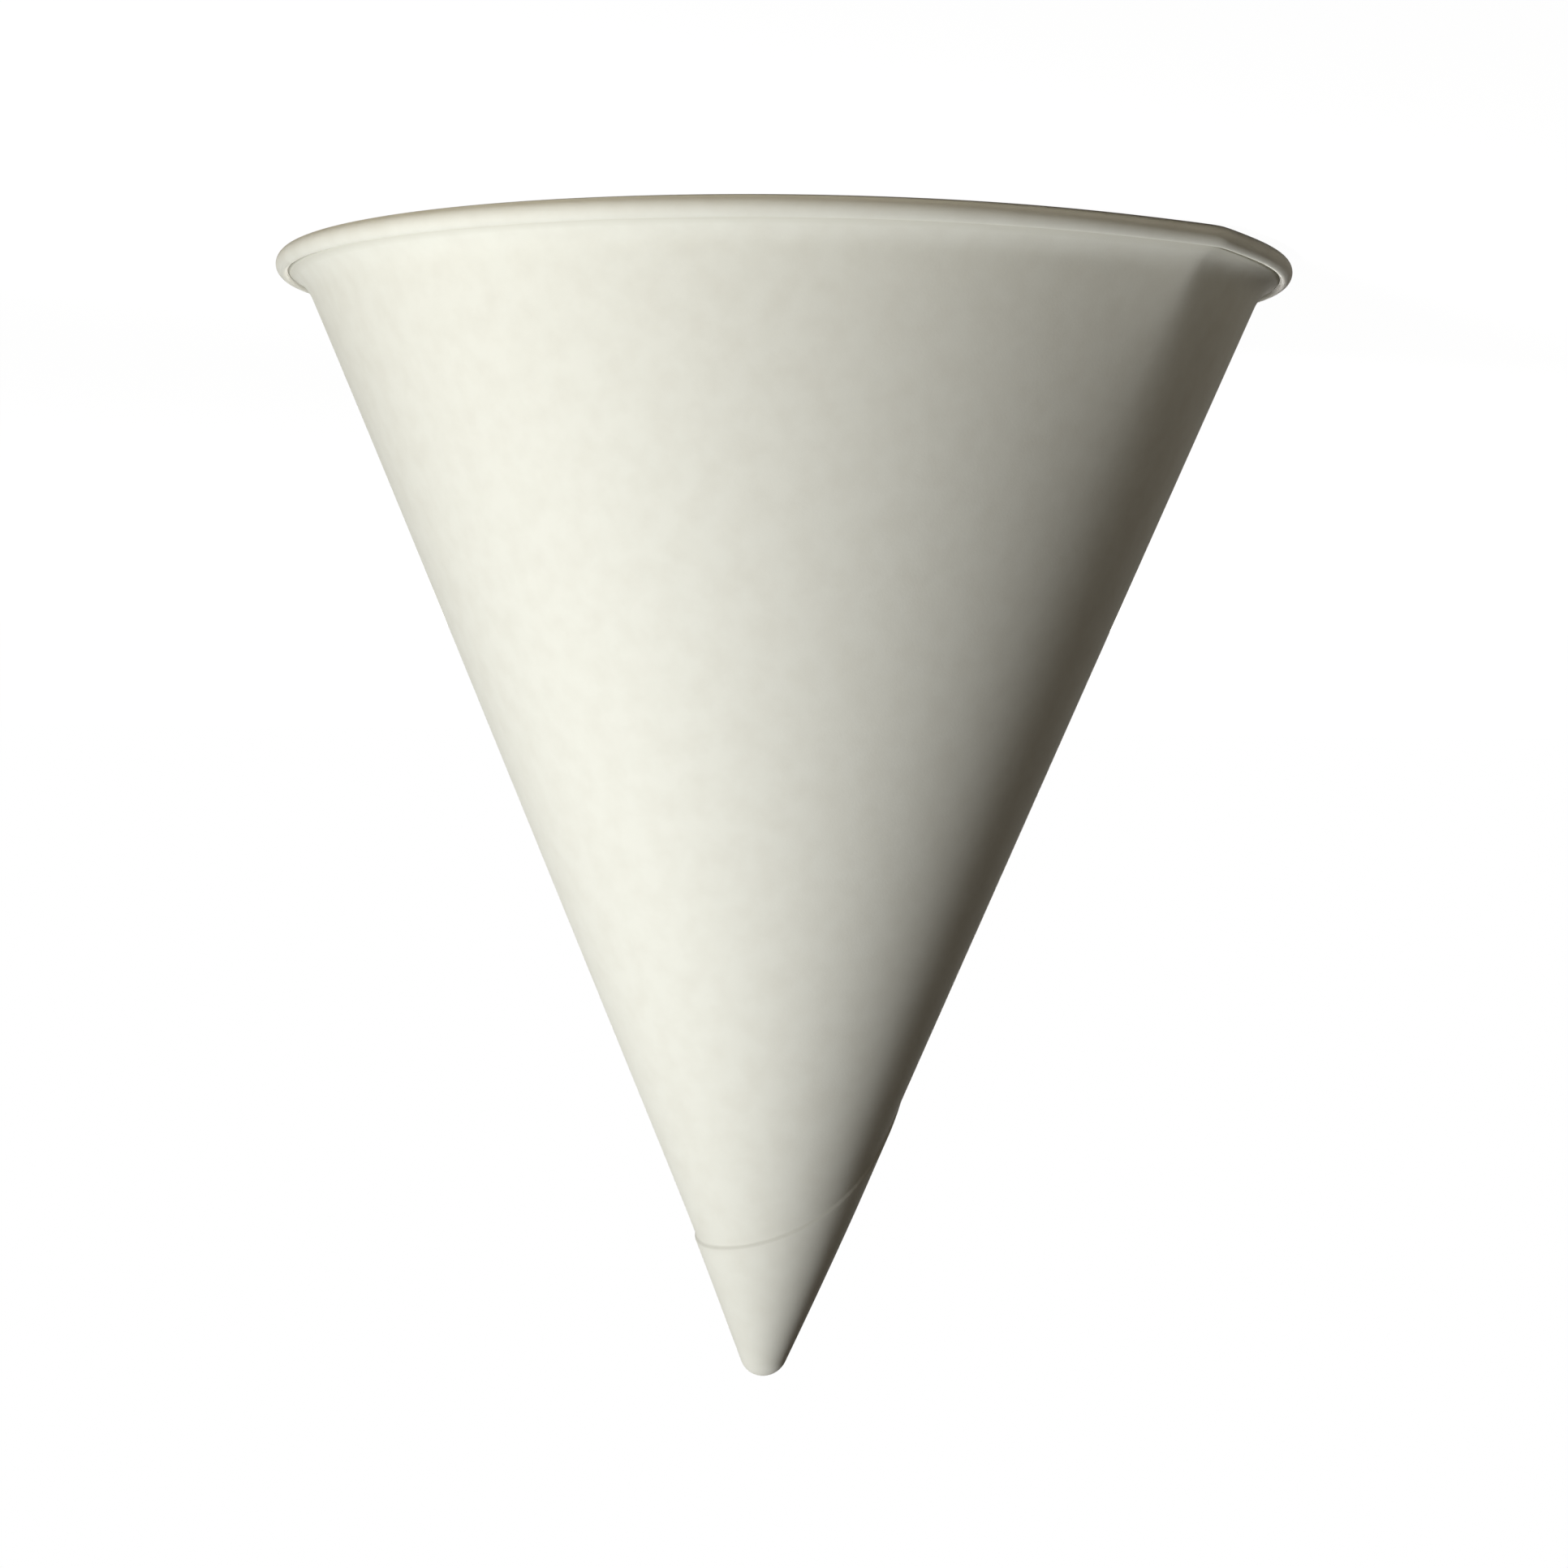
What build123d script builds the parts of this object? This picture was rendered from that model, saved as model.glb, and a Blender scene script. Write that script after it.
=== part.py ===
from build123d import *
import os
from math import acos, atan2, cos, degrees, hypot, radians, sin, sqrt, tan

# Paper cone cup with a rolled rim: one sheet, wound into a cone and glued along a lap.
# It stands on its mouth with the tip up. The origin is on the axis, in the plane that the rim
# stands on, and +Z points at the tip. The seam is at the back, on +Y.

# Driving dimensions, in millimetres and degrees
height = 92.8  # plane of the rim to the tip
rim_diameter = 84.0  # over the rolled rim
paper = 0.25  # thickness of the sheet
tip_radius = 2.0  # outside of the pressed tip, over both layers
flare_height = 2.6  # plane of the rim to the end of the straight wall, on its inside
flare_width = 2.9  # widest part of the rim to the end of the straight wall, on its inside
land_width = 0.4  # flat ring that the rim stands on
crown_radius = 0.72  # bend from the flat ring to the widest part of the rim
roll_radius = 0.9  # bend from the widest part of the rim to the cut end of the roll
tuck_angle = 28.5  # slope of the roll at its cut end, which lies on the flared wall
lap_width = 14.8  # glued lap, measured across the flat sheet
seam_angle = 90.0  # direction of the seam, where the sheet begins
bare_angle = 30.0  # stretch round the tip that the end of the lap leaves bare before the seam
step_width = 2.5  # stretch over which the sheet climbs onto itself, at the rim

# Working allowances
sink = paper / 2  # depth to which the lap is let into the wall under it
edge_points = 41  # points on the free edge of the lap
edge_margin = 2.0  # stretch by which the cut along that edge runs on past the lap
step_margin = 2.0  # stretch of the wall at the tip and at the flare that the seam's steps stop short of
lap_margin = 0.05  # stretch by which the lap runs on past the line where the flare covers it

# Straight wall: tangent to the inside of the tip, down to where the flare begins
tip_inner_radius = tip_radius - 2 * paper
tip_centre = height - tip_radius
flare_radius = rim_diameter / 2 - flare_width
flare_drop = tip_centre - flare_height
flare_distance = hypot(flare_radius, flare_drop)
half_angle = degrees(acos(tip_inner_radius / flare_distance) - atan2(flare_drop, flare_radius))
slope_sin = sin(radians(half_angle))
slope_cos = cos(radians(half_angle))
wall_length = sqrt(flare_distance**2 - tip_inner_radius**2)

# Cone of the wall's outside face, with slant lengths counted from its apex
apex_height = tip_centre + (tip_inner_radius + paper) / slope_sin
slant_tip = (tip_inner_radius + paper) * slope_cos / slope_sin
slant_flare = slant_tip + wall_length

# Lap round the tip
wrap_angle = 360.0 - bare_angle


def wall_point(slant, angle, depth):
    """Point of the straight wall, with the depth counted from its inside face outwards."""
    radius = slant * slope_sin + (depth - paper) * slope_cos
    level = apex_height - slant * slope_cos + (depth - paper) * slope_sin
    return Vector(radius * cos(radians(angle)), radius * sin(radians(angle)), level)


def wall_section(slant, depth):
    """The same point in the plane of the section, as radius and level."""
    point = wall_point(slant, 0, depth)
    return Vector(point.X, point.Z)


def rim_lines():
    """Rim in section, from the mouth round the roll, whose turns are one solid, to its cut end."""
    land_end = rim_diameter / 2 - crown_radius
    land = Line((land_end - land_width, 0), (land_end, 0))
    crown = JernArc(land @ 1, (1, 0), crown_radius, 90)
    roll = JernArc(crown @ 1, (0, 1), roll_radius, 90 - tuck_angle)
    cut_end = Line(roll @ 1, (roll @ 1) + (roll % 1).rotate(Axis.Z, 90) * paper)
    return [land, crown, roll, cut_end]


def cup_wall():
    """Single wall with the pressed tip, the flare and the rolled rim, turned about the axis."""
    tip = JernArc((0, tip_centre + tip_inner_radius), (1, 0), tip_inner_radius, half_angle - 90)
    inside = Line(tip @ 1, wall_section(slant_flare, 0))
    rim = rim_lines()
    flare_inside = Line(inside @ 1, rim[0] @ 0)
    flare_outside = Line(rim[-1] @ 1, wall_section(slant_flare, paper))
    outside = Line(flare_outside @ 1, wall_section(slant_tip, paper))
    cap = JernArc((0, height), (1, 0), tip_radius, half_angle - 90)
    cap_step = Line(outside @ 1, cap @ 1)
    axis = Line(tip @ 0, cap @ 0)
    lines = [tip, inside, flare_inside, *rim, flare_outside, outside, cap_step, cap, axis]
    return revolve(Plane.XZ * make_face(Wire(lines)), Axis.Z)


def free_edge(depth):
    """Free edge of the lap: a straight cut of the flat sheet, wound onto the cone."""
    start = -sqrt((slant_flare + edge_margin) ** 2 - lap_width**2)
    end = lap_width * tan(radians(wrap_angle * slope_sin - 90)) + edge_margin
    points = []
    for i in range(edge_points):
        along = start + (end - start) * i / (edge_points - 1)
        turn = (90 + degrees(atan2(along, lap_width))) / slope_sin
        points.append(wall_point(hypot(along, lap_width), seam_angle + turn, depth))
    return Spline(points)


def lap_layer():
    """Outer layer of the lap, from the seam to its free edge and on round the tip."""
    low = paper - sink
    high = 2 * paper
    flare = rim_lines()[-1] @ 1 - wall_section(slant_flare, paper)
    flare_turn = 90 - half_angle + degrees(atan2(flare.Y, flare.X))
    end = slant_flare + paper / tan(radians(flare_turn)) + lap_margin
    corners = [(slant_tip, low), (end, low), (end, high), (slant_tip, high)]
    outline = Polyline([wall_point(slant, seam_angle, depth) for slant, depth in corners], close=True)
    band = revolve(make_face(outline), Axis.Z, wrap_angle)
    cut = Face.make_surface_from_curves(free_edge(low - sink), free_edge(high + sink))
    pieces = split(band, bisect_by=cut, keep=Keep.ALL).solids()
    return max(pieces, key=lambda piece: piece.bounding_box().max.Z)


def seam_step(depth):
    """Wedge along the seam, one paper thick, where the sheet climbs onto its own start."""
    ends = []
    for slant in (slant_tip + step_margin, slant_flare - step_margin):
        reach = step_width * sqrt(slant / slant_flare)
        foot = wall_point(slant, seam_angle - degrees(reach / (slant * slope_sin)), depth)
        top = wall_point(slant, seam_angle, depth + paper)
        root = wall_point(slant, seam_angle, depth - sink)
        ends.append(Wire(Polyline([foot, top, root], close=True)))
    return Solid.make_loft(ends, ruled=True)


outer_step = seam_step(paper)
inner_step = seam_step(0)
cup = cup_wall() + lap_layer() + outer_step - inner_step

os.makedirs("parts", exist_ok=True)
export_step(cup, "parts/paper_cone.step")
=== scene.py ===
import math
import bpy
import numpy as np
from mathutils import Matrix, Vector


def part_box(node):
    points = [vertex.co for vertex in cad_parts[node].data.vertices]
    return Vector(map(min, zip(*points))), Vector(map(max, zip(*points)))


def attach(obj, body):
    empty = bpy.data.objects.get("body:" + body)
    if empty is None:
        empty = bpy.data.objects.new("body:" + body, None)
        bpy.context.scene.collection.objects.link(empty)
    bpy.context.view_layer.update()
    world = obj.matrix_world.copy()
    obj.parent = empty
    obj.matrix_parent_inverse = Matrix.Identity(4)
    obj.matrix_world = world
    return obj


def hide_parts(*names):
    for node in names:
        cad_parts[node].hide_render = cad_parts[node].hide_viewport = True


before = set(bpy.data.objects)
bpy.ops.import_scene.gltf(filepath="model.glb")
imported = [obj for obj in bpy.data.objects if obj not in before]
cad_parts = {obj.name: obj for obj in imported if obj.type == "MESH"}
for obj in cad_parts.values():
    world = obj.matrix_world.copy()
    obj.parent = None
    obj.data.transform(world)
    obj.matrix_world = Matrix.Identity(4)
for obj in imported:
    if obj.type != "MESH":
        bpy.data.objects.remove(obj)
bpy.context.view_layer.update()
mm = 0.001

# White paper cone cup, one wound sheet, standing on its mouth with the tip up.
# The seam is at the back, on +Y, and turns count round the cup from there, in degrees.
# Slants count down the wall from the apex of its cone.
cupSheet = {
    "node": "paper_cone",

    # wall and rim
    "paper": 0.25 * mm,        # thickness of the sheet
    "tipRadius": 2.0 * mm,     # outside of the pressed tip, over both layers
    "flareHeight": 2.0 * mm,   # plane of the rim to the end of the straight wall, on its inside
    "flareWidth": 2.645 * mm,  # widest part of the rim to that end
    "flareBend": 3.8 * mm,     # soft bend from the wall into the flare
    "insideBend": 6.0 * mm,    # the same on the inside face
    "mouthBend": 0.25 * mm,    # edge of the mouth
    "landWidth": 0.3 * mm,     # flat ring that the rim stands on
    "crownRadius": 0.9 * mm,   # bend from the flat ring to the widest part
    "rollRadius": 0.9 * mm,    # bend from the widest part up to the lip
    "lipRadius": 0.42 * mm,    # tighter bend of the lip, which ends on the flare
    "lipFrom": 55.0,           # degrees round the roll
    "lipTo": 148.0,
    "creaseWidth": 0.1 * mm,   # crease between the lip and the flare
    "creaseDepth": 0.06 * mm,
    "creaseShade": 0.5 * mm,   # soft shade along the crease

    # glued lap and seam
    "lapWidth": 14.8 * mm,     # across the flat sheet
    "lapRise": 0.2 * mm,       # height of the lap's pressed edge
    "pressReach": 9.0 * mm,    # stretch from that edge to the lap's full thickness
    "edgeFoot": 1.6 * mm,      # above the flare's bend, where the free edge turns straight down
    "edgeProfile": [           # slant past the free edge, and share of the step climbed there
        (0.2 * mm, 0.0),
        (0.1 * mm, 0.12),
        (0.0, 0.5),
        (-0.1 * mm, 0.88),
        (-0.2 * mm, 1.0),
    ],
    "bareAngle": 30.0,         # stretch round the tip that the lap leaves bare
    "bareMargin": 2.0,         # degrees at both ends of that stretch where the edge stays put
    "lapEndSoft": 0.2,         # degrees at the end of the lap
    "lapEndShare": 0.92,       # share of the lap's height left there
    "seamAngle": 90.0,         # where the sheet begins
    "rampWidth": 2.5 * mm,     # stretch where the sheet climbs onto itself, at the rim
    "rollSeam": 0.35,          # share of the paper's thickness that the seam shows on the roll
    "grooveTip": 6.0 * mm,     # stretch at the tip where the seam's groove inside begins
    "grooveRim": 4.0 * mm,     # stretch at the rim where it drops to what the roll shows
    "tipClosing": 1.6,         # how soon the bare stretch rises to the pole of the tip

    # shape that the paper has taken in use
    "cornerTurn": 128.4,       # soft corner pressed into the rim
    "cornerRise": 1.44 * mm,
    "cornerWidth": 15.1,       # degrees
    "cornerSoft": 1.4,         # degrees, at the rim
    "cornerSpread": 600.0,     # degrees of softness gained for each metre up the wall
    "cornerReach": 14 * mm,    # how far the corner runs up the wall
    "bendFrom": 3 * mm,        # stretch at the rim that is bent alike
    "ovalRise": -0.287 * mm,   # rim slightly out of round
    "ovalTurn": 193.0,
    "lean": 0.0067,            # wall leans to one side
    "tipBend": 0.357 * mm,     # and the tip a little more
    "tipBendFrom": 74.7 * mm,

    # rows of the mesh along the section
    "tipSteps": 9,
    "insideSteps": 40,
    "insideCrowd": 1.5,        # more than 1 crowds the rows towards the rim
    "insideBendSteps": 4,
    "mouthSteps": 5,
    "crownSteps": 10,
    "rollSteps": 9,
    "lipSteps": 8,
    "flareSteps": 4,
    "flareBendSteps": 8,
    "rimSideSteps": 48,        # outer wall from the flare to the free edge of the lap
    "rimSideCrowd": 1.35,
    "tipSideSteps": 26,        # outer wall from that edge to the tip

    # columns of the mesh round the cup, in degrees
    "columnStep": 1.0,
    "columnGap": 0.02,         # closer columns are left out
    "columnDigits": 3,         # kept after the point
    "seamFrom": 344.5,         # from here to the seam the columns are twice as close
    "seamGap": 0.03,           # last column to the seam
    "cornerSide": 8.0,         # stretch of closer columns on both sides of the soft corner
    "cornerStep": 0.5,
    "lapEndColumns": (-0.4, 0.9),
    "edgeColumns": (-0.3, -0.06, 0.06, 0.3),

    "flatGap": 0.3,            # metres between the two faces in the flat layout
}
insideFace = 0   # also the order of the two poles of the tip
outsideFace = 1


def smooth(share):
    share = np.clip(share, 0, 1)
    return share * share * (3 - 2 * share)


def unit(vector):
    return vector / np.linalg.norm(vector)


# Section of the wall, worked out once from the box of the CAD node
def sheetSection(sheet):
    low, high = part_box(sheet["node"])
    s = dict(sheet)
    s["height"] = high.z - low.z
    s["rimRadius"] = (high.x - low.x) / 2
    s["tipInner"] = s["tipRadius"] - 2 * s["paper"]
    s["tipCentre"] = s["height"] - s["tipRadius"]
    flareRadius = s["rimRadius"] - s["flareWidth"]
    drop = s["tipCentre"] - s["flareHeight"]
    span = math.hypot(flareRadius, drop)
    s["half"] = math.acos(s["tipInner"] / span) - math.atan2(drop, flareRadius)
    s["sin"] = math.sin(s["half"])
    s["cos"] = math.cos(s["half"])
    s["apex"] = s["tipCentre"] + (s["tipInner"] + s["paper"]) / s["sin"]
    s["slantTip"] = (s["tipInner"] + s["paper"]) * s["cos"] / s["sin"]
    s["slantFlare"] = s["slantTip"] + math.sqrt(span ** 2 - s["tipInner"] ** 2)
    s["wrap"] = 360 - s["bareAngle"]
    s["tipAngles"] = np.linspace(math.pi / 2, s["half"], s["tipSteps"] + 1)
    return s


# Wall points by slant, with the depth counted from the inside face
def wallPoint(s, slant, depth):
    radius = slant * s["sin"] + (depth - s["paper"]) * s["cos"]
    level = s["apex"] - slant * s["cos"] + (depth - s["paper"]) * s["sin"]
    return np.array([radius, level])


# Corner of the section, rounded from one straight run into the next
def roundCorner(before, corner, after, bend, count):
    toBefore = unit(before - corner)
    toAfter = unit(after - corner)
    half = math.acos(np.dot(toBefore, toAfter)) / 2
    reach = bend / math.tan(half)
    centre = corner + unit(toBefore + toAfter) * bend / math.sin(half)
    first = corner + toBefore * reach - centre
    last = corner + toAfter * reach - centre
    shares = np.linspace(0, 1, count + 1)
    return [centre + bend * unit(first + (last - first) * share) for share in shares]


def arcPoint(centre, bend, degrees):
    angle = math.radians(degrees)
    return centre + bend * np.array([math.cos(angle), math.sin(angle)])


def arcPoints(centre, bend, start, end, count):
    return [arcPoint(centre, bend, degrees) for degrees in np.linspace(start, end, count + 1)[1:]]


# Rim in section: inside face round the roll to the lip, then the flare up to the outside of the wall
def rimSection(s):
    insideWall = wallPoint(s, s["slantTip"], 0)
    insideEnd = wallPoint(s, s["slantFlare"], 0)
    outsideWall = wallPoint(s, s["slantTip"], s["paper"])
    outsideEnd = wallPoint(s, s["slantFlare"], s["paper"])
    landEnd = np.array([s["rimRadius"] - s["crownRadius"], 0.0])
    mouth = landEnd - [s["landWidth"], 0]
    crown = landEnd + [0, s["crownRadius"]]
    roll = np.array([s["rimRadius"] - s["rollRadius"], s["crownRadius"]])
    lip = arcPoint(roll, s["rollRadius"] - s["lipRadius"], s["lipFrom"])
    rolled = roundCorner(insideWall, insideEnd, mouth, s["insideBend"], s["insideBendSteps"])
    rolled += roundCorner(insideEnd, mouth, landEnd, s["mouthBend"], s["mouthSteps"])
    rolled.append(landEnd)
    rolled += arcPoints(crown, s["crownRadius"], -90, 0, s["crownSteps"])
    rolled += arcPoints(roll, s["rollRadius"], 0, s["lipFrom"], s["rollSteps"])
    rolled += arcPoints(lip, s["lipRadius"], s["lipFrom"], s["lipTo"], s["lipSteps"])
    creaseAndPaintedShade = rolled[-1] - [s["creaseWidth"] / 2, s["creaseDepth"]]
    foot = rolled[-1] - [s["creaseWidth"], 0]
    bent = roundCorner(foot, outsideEnd, outsideWall, s["flareBend"], s["flareBendSteps"])
    straight = [foot + (bent[0] - foot) * step / s["flareSteps"] for step in range(s["flareSteps"])]
    s["slantInside"] = s["slantFlare"] - np.linalg.norm(rolled[0] - insideEnd)
    s["slantOutside"] = s["slantFlare"] - np.linalg.norm(bent[-1] - outsideEnd)
    return np.array(rolled), creaseAndPaintedShade, np.array(straight + bent)


# Directions out of the paper along a line of the section
def outward(line):
    heading = np.gradient(line, axis=0)
    heading /= np.linalg.norm(heading, axis=1)[:, None]
    return np.stack([heading[:, 1], -heading[:, 0]], 1)


def lineLengths(line):
    return np.append(0, np.cumsum(np.linalg.norm(np.diff(line, axis=0), axis=1)))


# Columns round the cup: even, with more at the seam, the ends of the lap and the soft corner
def columnTurns(s):
    cornerFrom = s["cornerTurn"] - s["cornerSide"]
    cornerTo = s["cornerTurn"] + s["cornerSide"]
    turns = list(np.arange(0, 360, s["columnStep"]))
    turns += list(np.arange(s["seamFrom"], 360, s["columnStep"]))
    turns += list(np.arange(cornerFrom, cornerTo, s["cornerStep"]))
    turns += [s["wrap"] + offset for offset in s["lapEndColumns"]]
    turns += [s["edgeTurn"] + offset for offset in s["edgeColumns"]]
    turns.append(360 - s["seamGap"])
    turns = np.unique(np.round(turns, s["columnDigits"]))
    keep = np.concatenate([[True], np.diff(turns) > s["columnGap"]])
    return turns[keep]


# Slant of the lap's free edge: a straight cut of the flat sheet,
# then led back to the rim over the bare stretch
def lapEdge(s, turns):
    across = np.radians(np.clip(turns, s["edgeTurn"], s["wrap"])) * s["sin"]
    edge = s["lapWidth"] / np.sin(across)
    bare = s["bareAngle"] - 2 * s["bareMargin"]
    back = smooth((turns - s["wrap"] - s["bareMargin"]) / bare)
    return edge + (s["edgeSlant"] - edge) * back


# Columns, and how each one meets the lap
def addColumns(s):
    s["edgeSlant"] = s["slantOutside"] - s["edgeFoot"]
    s["edgeTurn"] = math.degrees(math.asin(s["lapWidth"] / s["edgeSlant"])) / s["sin"]
    turns = columnTurns(s)
    lapEnd = turns > s["wrap"] - s["lapEndSoft"]
    s["turns"] = turns
    s["onLap"] = np.where(turns <= s["wrap"], np.where(lapEnd, s["lapEndShare"], 1.0), 0.0)
    s["underRim"] = np.where(turns < s["edgeTurn"], 1.0, 0.0)
    s["edge"] = lapEdge(s, turns)


# Height of the ramp before the seam, as a share of the paper's thickness
def rampShare(s, slant):
    reach = s["rampWidth"] * np.sqrt(slant / s["slantFlare"])
    angle = np.degrees(reach / (slant * s["sin"]))
    return smooth(1 - (360 - s["turns"]) / angle)


# Length along the sheet over the round of the tip
def tipLength(s, angle):
    return s["slantTip"] * (math.pi / 2 - angle) / (math.pi / 2 - s["half"])


# One row of the mesh, with a value for each column, among them the share of painted crease shade
def sheetRow(s, radius, level, along, face, layers=0.0, creaseAndPaintedShade=0.0):
    ones = np.ones(len(s["turns"]))
    row = {"radius": radius, "level": level, "along": along, "layers": layers, "creaseAndPaintedShade": creaseAndPaintedShade}
    row = {label: value * ones for label, value in row.items()}
    row["face"] = face
    return row


# Inside face, from the pole of the tip down the wall, with a groove along the seam
def insideRows(s):
    rows = []
    for angle in s["tipAngles"][1:]:
        radius = s["tipInner"] * math.cos(angle)
        level = s["tipCentre"] + s["tipInner"] * math.sin(angle)
        rows.append(sheetRow(s, radius, level, tipLength(s, angle), insideFace))
    for share in np.linspace(0, 1, s["insideSteps"] + 1)[1:-1]:
        down = 1 - (1 - share) ** s["insideCrowd"]
        slant = s["slantTip"] + (s["slantInside"] - s["slantTip"]) * down
        fade = smooth((slant - s["slantTip"]) / s["grooveTip"])
        keep = 1 - (1 - s["rollSeam"]) * smooth(1 - (s["slantInside"] - slant) / s["grooveRim"])
        groove = s["paper"] * rampShare(s, slant) * fade * keep
        radius, level = wallPoint(s, slant, 0)
        rows.append(sheetRow(s, radius + groove * s["cos"], level + groove * s["sin"], slant, insideFace))
    return rows


# Round the roll to the lip, where the seam shows as a shallow groove, and into the crease, with painted
# shade growing towards the crease
def rollRows(s, rolled, creaseAndPaintedShade):
    seam = s["paper"] * s["rollSeam"] * rampShare(s, s["slantFlare"])
    lengths = s["slantInside"] + lineLengths(rolled)
    # painted shade, strongest at the crease
    dark = 1 - smooth((lengths[-1] - lengths) / s["creaseShade"])
    rows = []
    for point, out, along, shade in zip(rolled, outward(rolled), lengths, dark):
        radius = point[0] - seam * out[0]
        level = point[1] - seam * out[1]
        rows.append(sheetRow(s, radius, level, along, insideFace, creaseAndPaintedShade=shade))
    rows.append(sheetRow(s, creaseAndPaintedShade[0], creaseAndPaintedShade[1], lengths[-1], insideFace, creaseAndPaintedShade=1.0))
    return rows


# Flare, from the crease up to the wall, raised where the lap lies on it, with painted shade fading out
# from the crease
def flareRows(s, flared):
    doubled = s["lapRise"] * np.maximum(s["underRim"], rampShare(s, s["slantFlare"]))
    lengths = s["slantOutside"] + lineLengths(flared[::-1])[::-1]
    # painted shade, fading out from the crease over the flare
    dark = 1 - smooth(lineLengths(flared) / s["creaseShade"] - 1)
    outs = outward(flared)
    outs[-1] = s["cos"], s["sin"]  # square to the wall that follows
    rows = []
    for point, out, along, shade in zip(flared, outs, lengths, dark):
        radius = point[0] + doubled * out[0]
        level = point[1] + doubled * out[1]
        rows.append(sheetRow(s, radius, level, along, outsideFace, s["underRim"], shade))
    return rows


# Row of the outer wall, raised by the lap's thickness, which is pressed thinner at its free edge
def outsideRow(s, slant, lap):
    lap = np.maximum(lap, s["underRim"])
    thick = s["lapRise"] + (s["paper"] - s["lapRise"]) * smooth((s["edge"] - slant) / s["pressReach"])
    height = thick * np.maximum(lap * s["onLap"], rampShare(s, slant))
    radius, level = wallPoint(s, slant, s["paper"] + height)
    layers = np.where(s["turns"] <= s["wrap"], lap, 0) * s["onLap"]
    return sheetRow(s, radius, level, slant, outsideFace, layers)


# Outer wall, from the flare to the free edge, over the step and on to the tip
def outsideRows(s):
    rimEnd = s["slantOutside"]
    first = s["edge"] + s["edgeProfile"][0][0]
    last = s["edge"] + s["edgeProfile"][-1][0]
    rows = []
    for share in np.linspace(0, 1, s["rimSideSteps"] + 1)[1:-1]:
        rows.append(outsideRow(s, rimEnd + (first - rimEnd) * share ** s["rimSideCrowd"], 0.0))
    for offset, lap in s["edgeProfile"]:
        rows.append(outsideRow(s, s["edge"] + offset, lap))
    for share in np.linspace(0, 1, s["tipSideSteps"] + 1)[1:]:
        rows.append(outsideRow(s, last + (s["slantTip"] - last) * share, 1.0))
    return rows


# Outside of the tip, where the bare stretch closes up to the lap at the pole
def tipRows(s):
    rows = []
    for angle in s["tipAngles"][::-1][1:-1]:
        share = (angle - s["half"]) / (math.pi / 2 - s["half"])
        lap = s["onLap"] + (1 - s["onLap"]) * smooth(share * s["tipClosing"])
        height = s["paper"] * np.maximum(lap, rampShare(s, s["slantTip"]))
        bend = s["tipInner"] + s["paper"] + height
        radius = bend * math.cos(angle)
        level = s["tipCentre"] + bend * math.sin(angle)
        rows.append(sheetRow(s, radius, level, tipLength(s, angle), outsideFace, s["onLap"]))
    return rows


# Whole sheet as rows and columns, from the tip's pole inside, round the rim, to its pole outside
def sheetGrid(s):
    rolled, creaseAndPaintedShade, flared = rimSection(s)
    addColumns(s)
    rows = insideRows(s) + rollRows(s, rolled, creaseAndPaintedShade) + flareRows(s, flared)
    rows += outsideRows(s) + tipRows(s)
    return {label: np.array([row[label] for row in rows]) for label in rows[0]}


# Soft corner, ovalness and lean, alike for both faces of the sheet
def bendPaper(s, radius, level):
    turns = s["turns"]
    up = np.clip(level - s["bendFrom"], 0, None)
    fade = np.exp(-up / s["cornerReach"])
    soft = s["cornerSoft"] + s["cornerSpread"] * up
    away = (turns - s["cornerTurn"] + 180) % 360 - 180
    spread = np.sqrt(away ** 2 + soft ** 2) / s["cornerWidth"]
    corner = s["cornerRise"] * (1 - spread) * np.exp(-spread)
    oval = s["ovalRise"] * np.cos(2 * np.radians(turns - s["ovalTurn"]))
    radius = radius + fade * (corner + oval)
    angle = np.radians(turns + s["seamAngle"])
    past = np.clip((level - s["tipBendFrom"]) / (s["height"] - s["tipBendFrom"]), 0, 1)
    shift = s["lean"] * level + s["tipBend"] * past ** 2
    return np.stack([radius * np.cos(angle) + shift, radius * np.sin(angle), level], -1)


# Flat layout for the paper's grain: both faces unrolled, a gap apart.
# Its last column closes the seam, and its last row holds the poles.
def flatLayout(s, grid):
    rowCount, columns = grid["radius"].shape
    fullTurn = 2 * math.pi * s["sin"]
    flatTurn = np.radians(s["turns"]) * s["sin"] + fullTurn * grid["layers"]
    along = grid["along"]
    gap = s["flatGap"] * grid["face"]
    flat = np.zeros((rowCount + 1, columns + 1, 2))
    flat[:-1, :-1, 0] = along * np.sin(flatTurn) + gap[:, None]
    flat[:-1, :-1, 1] = along * np.cos(flatTurn)
    flat[:-1, -1, 0] = along[:, 0] * math.sin(fullTurn) + gap
    flat[:-1, -1, 1] = along[:, 0] * math.cos(fullTurn)
    flat[-1, outsideFace, 0] = s["flatGap"]
    return flat


# Corners of each face as row and column, with both poles in one more row
def sheetCorners(rowCount, columns):
    corners = []
    for row in range(rowCount - 1):
        for column in range(columns):
            after = column + 1
            corners.append([(row, column), (row, after), (row + 1, after), (row + 1, column)])
    for column in range(columns):
        after = column + 1
        corners.append([(0, after), (0, column), (rowCount, insideFace)])
        corners.append([(rowCount - 1, column), (rowCount - 1, after), (rowCount, outsideFace)])
    return corners


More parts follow.
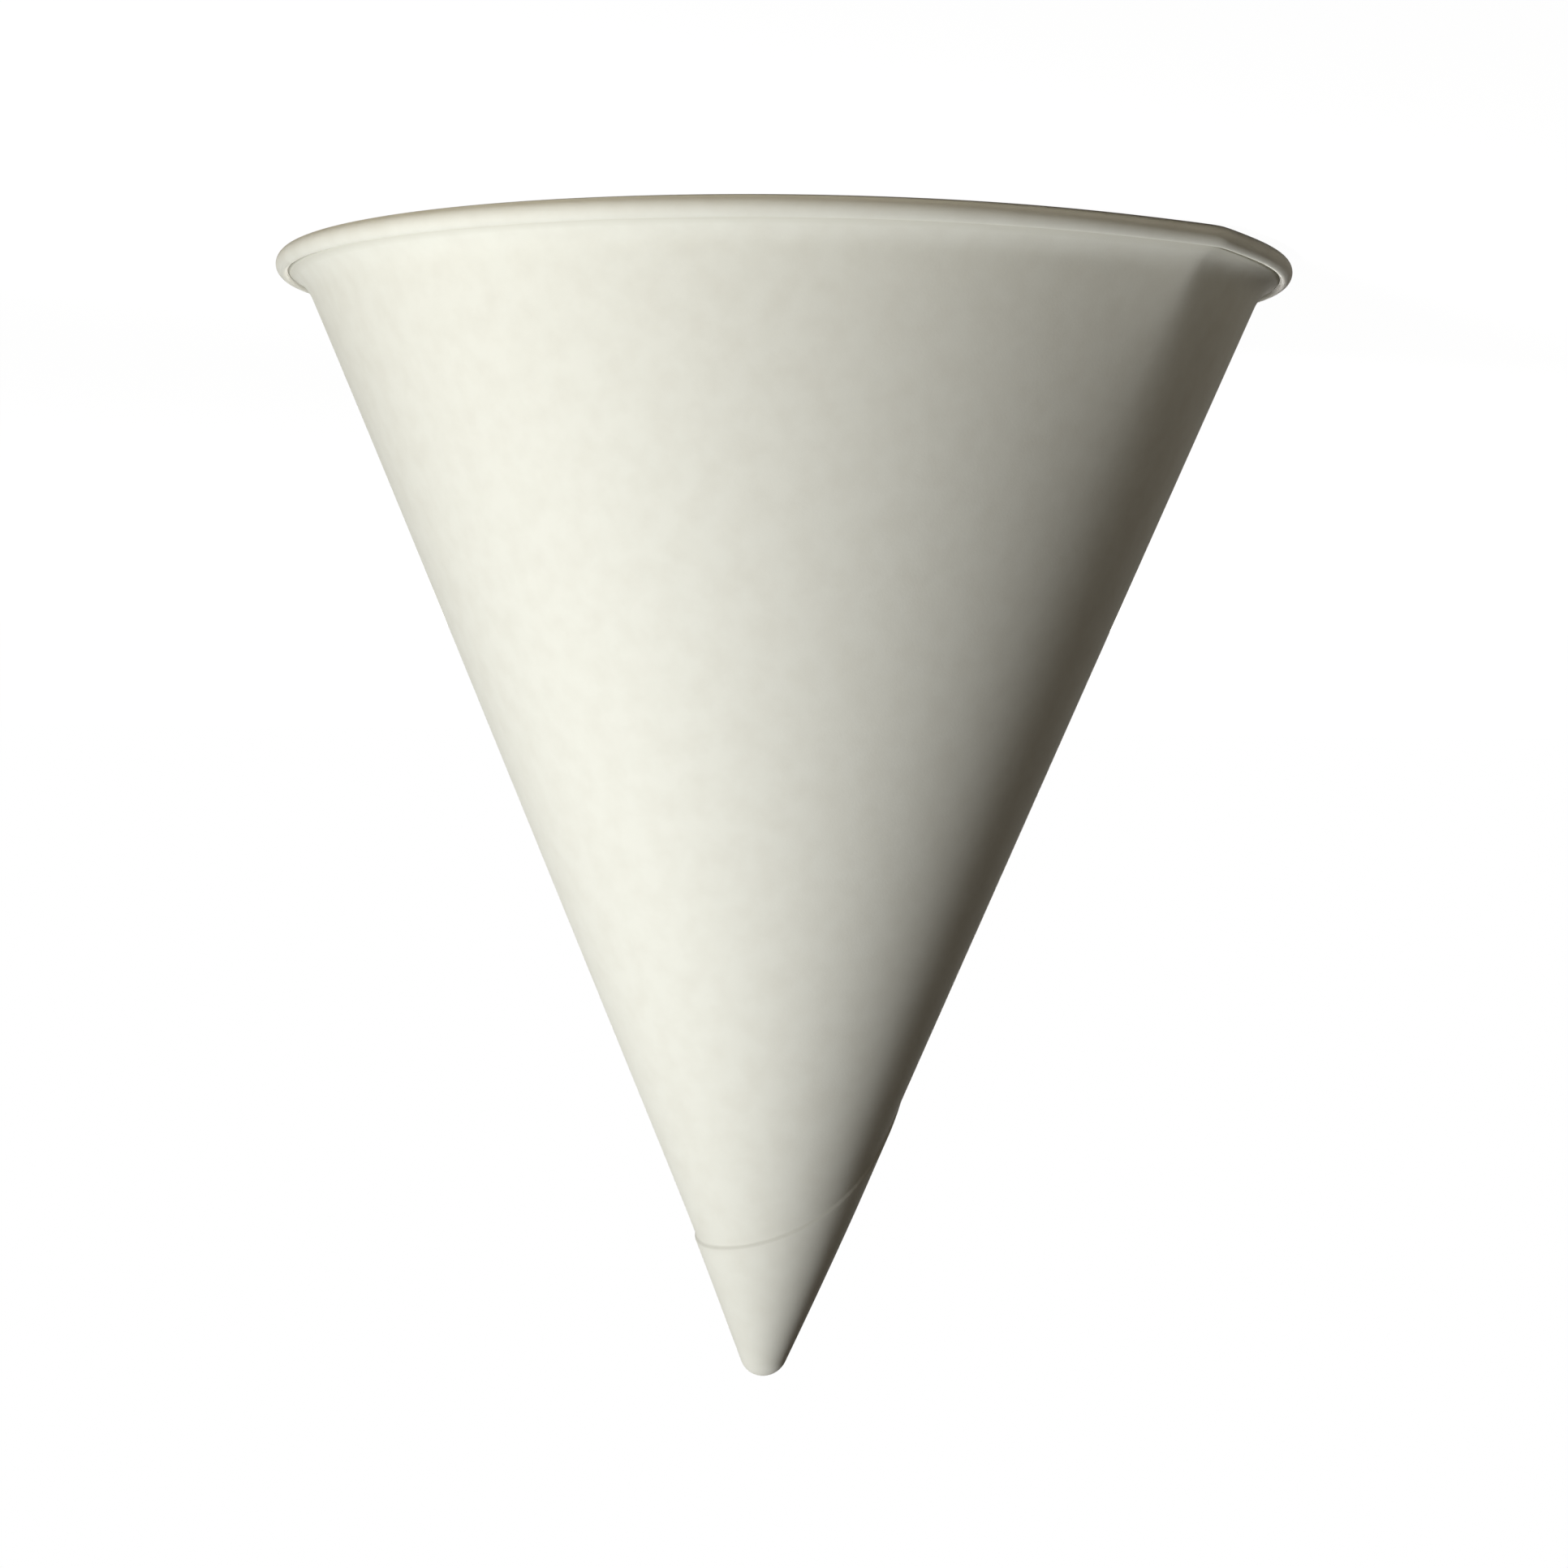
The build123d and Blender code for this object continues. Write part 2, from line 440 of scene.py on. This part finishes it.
def sheetMesh(name, s):
    grid = sheetGrid(s)
    rowCount, columns = grid["radius"].shape
    points = bendPaper(s, grid["radius"], grid["level"]).reshape(-1, 3)
    tipLean = s["lean"] * s["height"] + s["tipBend"]
    poles = [(tipLean, 0, s["tipCentre"] + s["tipInner"]), (tipLean, 0, s["height"])]
    corners = sheetCorners(rowCount, columns)
    faces = [[row * columns + column % columns for row, column in face] for face in corners]
    mesh = bpy.data.meshes.new(name)
    mesh.from_pydata(np.concatenate([points, poles]).tolist(), [], faces)
    flat = flatLayout(s, grid)
    layout = np.array([flat[corner] for face in corners for corner in face], np.float32)
    mesh.uv_layers.new(name="flatSheet").data.foreach_set("uv", layout.ravel())
    # painted shade along the crease, kept on the points for the paper's colour
    shade = np.append(grid["creaseAndPaintedShade"], np.zeros(len(poles))).astype(np.float32)
    mesh.attributes.new("creaseAndPaintedShade", "FLOAT", "POINT").data.foreach_set("value", shade)
    mesh.polygons.foreach_set("use_smooth", np.ones(len(faces), bool))
    mesh.update()
    return mesh


def addObject(name, data):
    obj = bpy.data.objects.new(name, data)
    bpy.context.scene.collection.objects.link(obj)
    return obj


# Paper: uncoated white stock with a faint cloudy formation, fibres and tooth
paperLook = {
    "colour": (0.906, 0.9, 0.817),
    "shade": (0.874, 0.863, 0.777),      # darker clouds of the formation
    "creaseAndPaintedShade": (0.8, 0.788, 0.7),         # painted shade along the crease of the rim
    "roughness": 0.6,
    "ior": 1.45,
    "specular": 0.02,                    # bare paper, with hardly any shine
    "cloudScale": 420.0,
    "cloudDetail": 3.0,
    "cloudFrom": 0.3,                    # noise below this is the darker tone
    "cloudTo": 0.62,                     # and above this the plain colour
    "fibreScale": 2600.0,
    "fibreDetail": 4.0,
    "fibreWander": 0.6,
    "fibreStretch": (1.0, 0.35, 1.0),    # fibres lie along the sheet
    "toothScale": 5200.0,
    "toothDetail": 2.0,
    "bump": 0.06,
    "bumpHeight": 0.1 * mm,
}


def addNoise(nodes, links, place, scale, detail, wander=0.0):
    noise = nodes.new("ShaderNodeTexNoise")
    noise.inputs["Scale"].default_value = scale
    noise.inputs["Detail"].default_value = detail
    noise.inputs["Distortion"].default_value = wander
    links.new(place, noise.inputs["Vector"])
    return noise.outputs["Fac"]


# Colour of the paper: clouds, and painted shade along the crease
def paperTone(nodes, links, place, look):
    clouds = addNoise(nodes, links, place, look["cloudScale"], look["cloudDetail"])
    tone = nodes.new("ShaderNodeValToRGB")
    dark, light = tone.color_ramp.elements
    dark.position = look["cloudFrom"]
    dark.color = (*look["shade"], 1)
    light.position = look["cloudTo"]
    light.color = (*look["colour"], 1)
    links.new(clouds, tone.inputs["Fac"])
    # painted shade: the crease attribute darkens the colour where shade falls in the crease
    creaseAndPaintedShade = nodes.new("ShaderNodeAttribute")
    creaseAndPaintedShade.attribute_name = "creaseAndPaintedShade"
    shaded = nodes.new("ShaderNodeMix")
    shaded.data_type = "RGBA"
    shaded.inputs["B"].default_value = (*look["creaseAndPaintedShade"], 1)
    links.new(creaseAndPaintedShade.outputs["Fac"], shaded.inputs["Factor"])
    links.new(tone.outputs["Color"], shaded.inputs["A"])
    return shaded.outputs["Result"]


# Relief of the paper: fibres along the sheet and a finer tooth
def paperTooth(nodes, links, place, look):
    grain = nodes.new("ShaderNodeMapping")
    grain.inputs["Scale"].default_value = look["fibreStretch"]
    links.new(place, grain.inputs["Vector"])
    fibre = addNoise(nodes, links, grain.outputs["Vector"], look["fibreScale"], look["fibreDetail"],
                     look["fibreWander"])
    tooth = addNoise(nodes, links, place, look["toothScale"], look["toothDetail"])
    both = nodes.new("ShaderNodeMath")
    both.operation = "ADD"
    links.new(fibre, both.inputs[0])
    links.new(tooth, both.inputs[1])
    bump = nodes.new("ShaderNodeBump")
    bump.inputs["Strength"].default_value = look["bump"]
    bump.inputs["Distance"].default_value = look["bumpHeight"]
    links.new(both.outputs["Value"], bump.inputs["Height"])
    return bump.outputs["Normal"]


def paperMaterial(look):
    mat = bpy.data.materials.new("whitePaper")
    mat.use_nodes = True
    nodes, links = mat.node_tree.nodes, mat.node_tree.links
    sheet = nodes.new("ShaderNodeUVMap")
    sheet.uv_map = "flatSheet"
    shader = nodes["Principled BSDF"]
    shader.inputs["Roughness"].default_value = look["roughness"]
    shader.inputs["IOR"].default_value = look["ior"]
    shader.inputs["Specular IOR Level"].default_value = look["specular"]
    links.new(paperTone(nodes, links, sheet.outputs["UV"], look), shader.inputs["Base Color"])
    links.new(paperTooth(nodes, links, sheet.outputs["UV"], look), shader.inputs["Normal"])
    return mat


section = sheetSection(cupSheet)
cupMesh = sheetMesh("paperCup", section)
cupMesh.materials.append(paperMaterial(paperLook))
cup = addObject("paperCup", cupMesh)
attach(cup, "root")
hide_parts(cupSheet["node"])
print("sheet:", len(cupMesh.polygons), "faces, half angle", round(math.degrees(section["half"]), 2))

# Pale floor: white to the camera, with only a trace of the cup's shadow left in it
floorLook = {
    "size": 6.0,                     # metres
    "sink": 0.03 * mm,               # a hair below the rim
    "colour": (0.6, 0.55, 0.47),     # as it lights the cup
    "glow": 0.98,                    # white by the cup, a little under full
    "glowFrom": 0.05,                # metres from the cup's axis, where it begins to rise
    "glowTo": 0.3,                   # and where it is full white
    "shadowShare": 0.08,             # share of the lamps' light, which carries the shadow
}


# Rays that see the white background: from the camera, and by gloss or through glass
def pathMask(nodes, links):
    path = nodes.new("ShaderNodeLightPath")
    total = path.outputs["Is Camera Ray"]
    for other in ("Is Glossy Ray", "Is Transmission Ray"):
        more = nodes.new("ShaderNodeMath")
        more.operation = "MAXIMUM"
        links.new(total, more.inputs[0])
        links.new(path.outputs[other], more.inputs[1])
        total = more.outputs["Value"]
    return total


# White that the camera sees, with a share of lit floor added for the shadow
def floorWhite(nodes, links, look):
    place = nodes.new("ShaderNodeTexCoord")
    far = nodes.new("ShaderNodeVectorMath")
    far.operation = "LENGTH"
    links.new(place.outputs["Object"], far.inputs[0])
    near = nodes.new("ShaderNodeMapRange")
    near.interpolation_type = "SMOOTHSTEP"
    near.inputs["From Min"].default_value = look["glowFrom"]
    near.inputs["From Max"].default_value = look["glowTo"]
    near.inputs["To Min"].default_value = look["glow"]
    near.inputs["To Max"].default_value = 1.0
    links.new(far.outputs["Value"], near.inputs["Value"])
    white = nodes.new("ShaderNodeEmission")
    links.new(near.outputs["Result"], white.inputs["Strength"])
    lit = nodes.new("ShaderNodeBsdfDiffuse")
    share = look["shadowShare"]
    lit.inputs["Color"].default_value = (share, share, share, 1)
    shown = nodes.new("ShaderNodeAddShader")
    links.new(white.outputs["Emission"], shown.inputs[0])
    links.new(lit.outputs["BSDF"], shown.inputs[1])
    return shown.outputs["Shader"]


def floorMaterial(look):
    mat = bpy.data.materials.new("paleFloor")
    mat.use_nodes = True
    nodes, links = mat.node_tree.nodes, mat.node_tree.links
    nodes.remove(nodes["Principled BSDF"])
    plain = nodes.new("ShaderNodeBsdfDiffuse")
    plain.inputs["Color"].default_value = (*look["colour"], 1)
    mix = nodes.new("ShaderNodeMixShader")
    links.new(pathMask(nodes, links), mix.inputs["Fac"])
    links.new(plain.outputs["BSDF"], mix.inputs[1])
    links.new(floorWhite(nodes, links, look), mix.inputs[2])
    links.new(mix.outputs["Shader"], nodes["Material Output"].inputs["Surface"])
    return mat


def makeFloor(look):
    half = look["size"] / 2
    mesh = bpy.data.meshes.new("floor")
    corners = [(-half, -half, 0), (half, -half, 0), (half, half, 0), (-half, half, 0)]
    mesh.from_pydata(corners, [], [(0, 1, 2, 3)])
    mesh.materials.append(floorMaterial(look))
    floor = addObject("floor", mesh)
    floor.location.z = -look["sink"]


makeFloor(floorLook)
print("floor:", floorLook["size"], "m wide")

# Light: a narrow key high on one side, a low lamp behind and little else, in metres and watts
lightSetup = {
    "key": {
        "kind": "SPOT",
        "turn": 227.0,               # round the cup from the seam
        "away": 0.3,
        "high": 0.27,
        "aim": (-0.0075, -0.008, 0.004),
        "size": 0.05,
        "beam": 49.0,                # degrees
        "beamSoft": 1.0,
        "narrow": 0.44,              # share of the beam's width that is left
        "power": 5.82,
        "colour": (0.985, 1.0, 1.0),
    },
    "back": {
        "kind": "AREA",
        "turn": 3.0,
        "away": 0.8,
        "high": 0.06,
        "aim": (0.0, 0.0, 0.045),
        "size": 0.2,
        "narrow": 1.0,
        "power": 4.6,
        "colour": (1.0, 0.97, 0.92),
    },
    "ambient": 0.05,
    "ambientColour": (1.0, 0.86, 0.69),
}


def addLamp(name, lamp):
    light = bpy.data.lights.new(name, lamp["kind"])
    if lamp["kind"] == "SPOT":
        light.shadow_soft_size = lamp["size"]
        light.spot_size = math.radians(lamp["beam"])
        light.spot_blend = lamp["beamSoft"]
    else:
        light.shape = "SQUARE"
        light.size = lamp["size"]
    light.energy = lamp["power"]
    light.color = lamp["colour"]
    angle = math.radians(lamp["turn"] + cupSheet["seamAngle"])
    place = Vector((lamp["away"] * math.cos(angle), lamp["away"] * math.sin(angle), lamp["high"]))
    obj = addObject(name, light)
    obj.location = place
    obj.rotation_euler = (Vector(lamp["aim"]) - place).to_track_quat("-Z", "Y").to_euler()
    obj.scale.x = lamp["narrow"]
    obj.visible_camera = False


# Dim warm surroundings for the cup, plain white for the camera
def makeWorld(setup):
    world = bpy.data.worlds.new("studio")
    bpy.context.scene.world = world
    world.use_nodes = True
    nodes, links = world.node_tree.nodes, world.node_tree.links
    dim = nodes["Background"]
    dim.inputs["Color"].default_value = (*setup["ambientColour"], 1)
    dim.inputs["Strength"].default_value = setup["ambient"]
    white = nodes.new("ShaderNodeBackground")
    white.inputs["Color"].default_value = (1, 1, 1, 1)
    white.inputs["Strength"].default_value = 1.0
    mix = nodes.new("ShaderNodeMixShader")
    links.new(pathMask(nodes, links), mix.inputs["Fac"])
    links.new(dim.outputs["Background"], mix.inputs[1])
    links.new(white.outputs["Background"], mix.inputs[2])
    links.new(mix.outputs["Shader"], nodes["World Output"].inputs["Surface"])


for lampName in ("key", "back"):
    addLamp(lampName, lightSetup[lampName])
makeWorld(lightSetup)
print("light: key", lightSetup["key"]["power"], "back", lightSetup["back"]["power"])

# Camera of the photograph, which shows the standing cup turned over, tip down
photoView = {
    "place": (-0.332 * mm, -340 * mm, 43.3595 * mm),
    "focalPixels": 5014.56,
    "framePixels": 1932,
    "sensor": 36.0,                  # millimetres, as the lens is
    "roll": 0.0097,                  # radians past upside down
    "nearest": 0.01,                 # metres
}


def makeCamera(view):
    cam = bpy.data.cameras.new("camera")
    cam.sensor_width = view["sensor"]
    cam.lens = view["focalPixels"] * view["sensor"] / view["framePixels"]
    cam.clip_start = view["nearest"]
    level = Matrix.Rotation(math.pi / 2, 4, "X")
    turned = Matrix.Rotation(math.pi + view["roll"], 4, "Z")
    obj = addObject("camera", cam)
    obj.matrix_world = Matrix.Translation(view["place"]) @ level @ turned
    bpy.context.scene.camera = obj
    print("camera: lens", round(cam.lens, 1))


makeCamera(photoView)
bpy.context.scene.view_settings.view_transform = "Standard"
